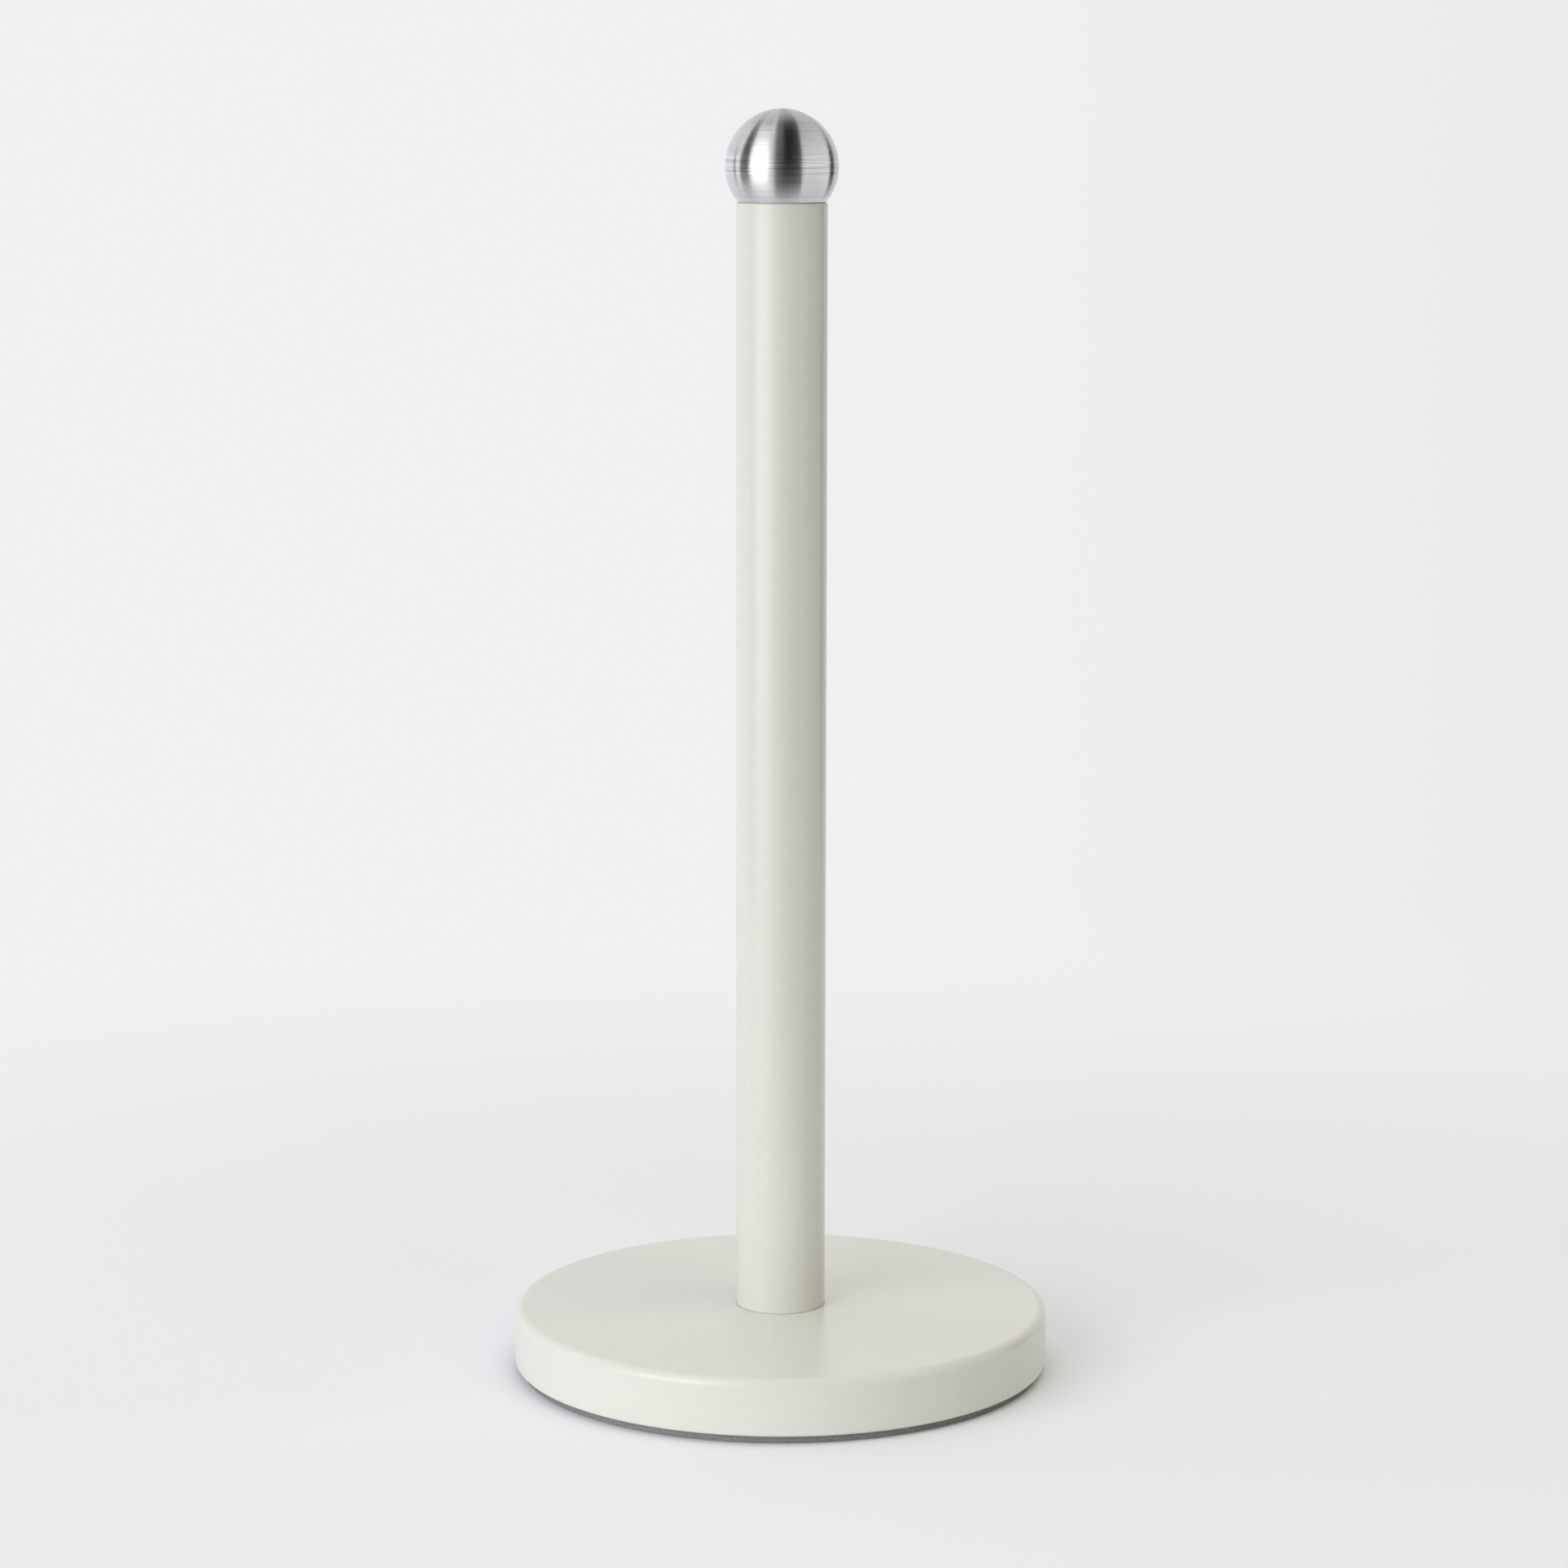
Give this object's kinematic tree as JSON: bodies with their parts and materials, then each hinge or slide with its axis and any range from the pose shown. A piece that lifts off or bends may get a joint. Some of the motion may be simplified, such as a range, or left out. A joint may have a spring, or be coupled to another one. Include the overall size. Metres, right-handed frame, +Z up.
{
  "type": "paper towel holder",
  "caption": "Upright paper towel holder: weighted round base with anti-slip pad, slim tube post and a turned steel ball that screws onto its top.",
  "frame": {"origin": "on the floor under the post's axis, at the centre of the pad's underside", "axes": "+Z up along the post's axis; the outer form is a body of revolution, so +X and +Y are free choices"},
  "size_m": [0.15, 0.15, 0.3517],
  "materials": {
    "coated_steel": "satin",
    "turned_stainless": "satin",
    "foam_rubber": "matte",
    "cast_iron": "matte",
    "turned_steel": "satin",
    "zinc_steel": "satin",
    "white_nylon": "satin"
  },
  "bodies": {
    "root": {"base_shell": "coated_steel", "ballast_disc": "cast_iron", "anti_slip_pad": "foam_rubber", "post_tube": "coated_steel", "post_bottom_plug": "turned_steel", "base_bolt": "zinc_steel", "base_flat_washer": "zinc_steel", "base_spring_washer": "zinc_steel", "post_top_plug": "turned_steel"},
    "washer": {"finial_washer": "white_nylon"},
    "finial": {"finial_ball": "turned_stainless", "finial_stud": "zinc_steel"}
  },
  "joints": [
    {"name": "finial_rise", "type": "slide", "parent": "root", "child": "washer", "axis": [0, 0, 1], "range_m": [0, 0.01125]},
    {"name": "finial_turn", "type": "hinge", "parent": "washer", "child": "finial", "pos_m": [0, 0, 0.336], "axis": [0, 0, 1], "range_deg": [0, 3240]}
  ],
  "couplings": [
    {"joint": "finial_turn", "follows": "finial_rise", "rad_per_m": 5026.5}
  ]
}
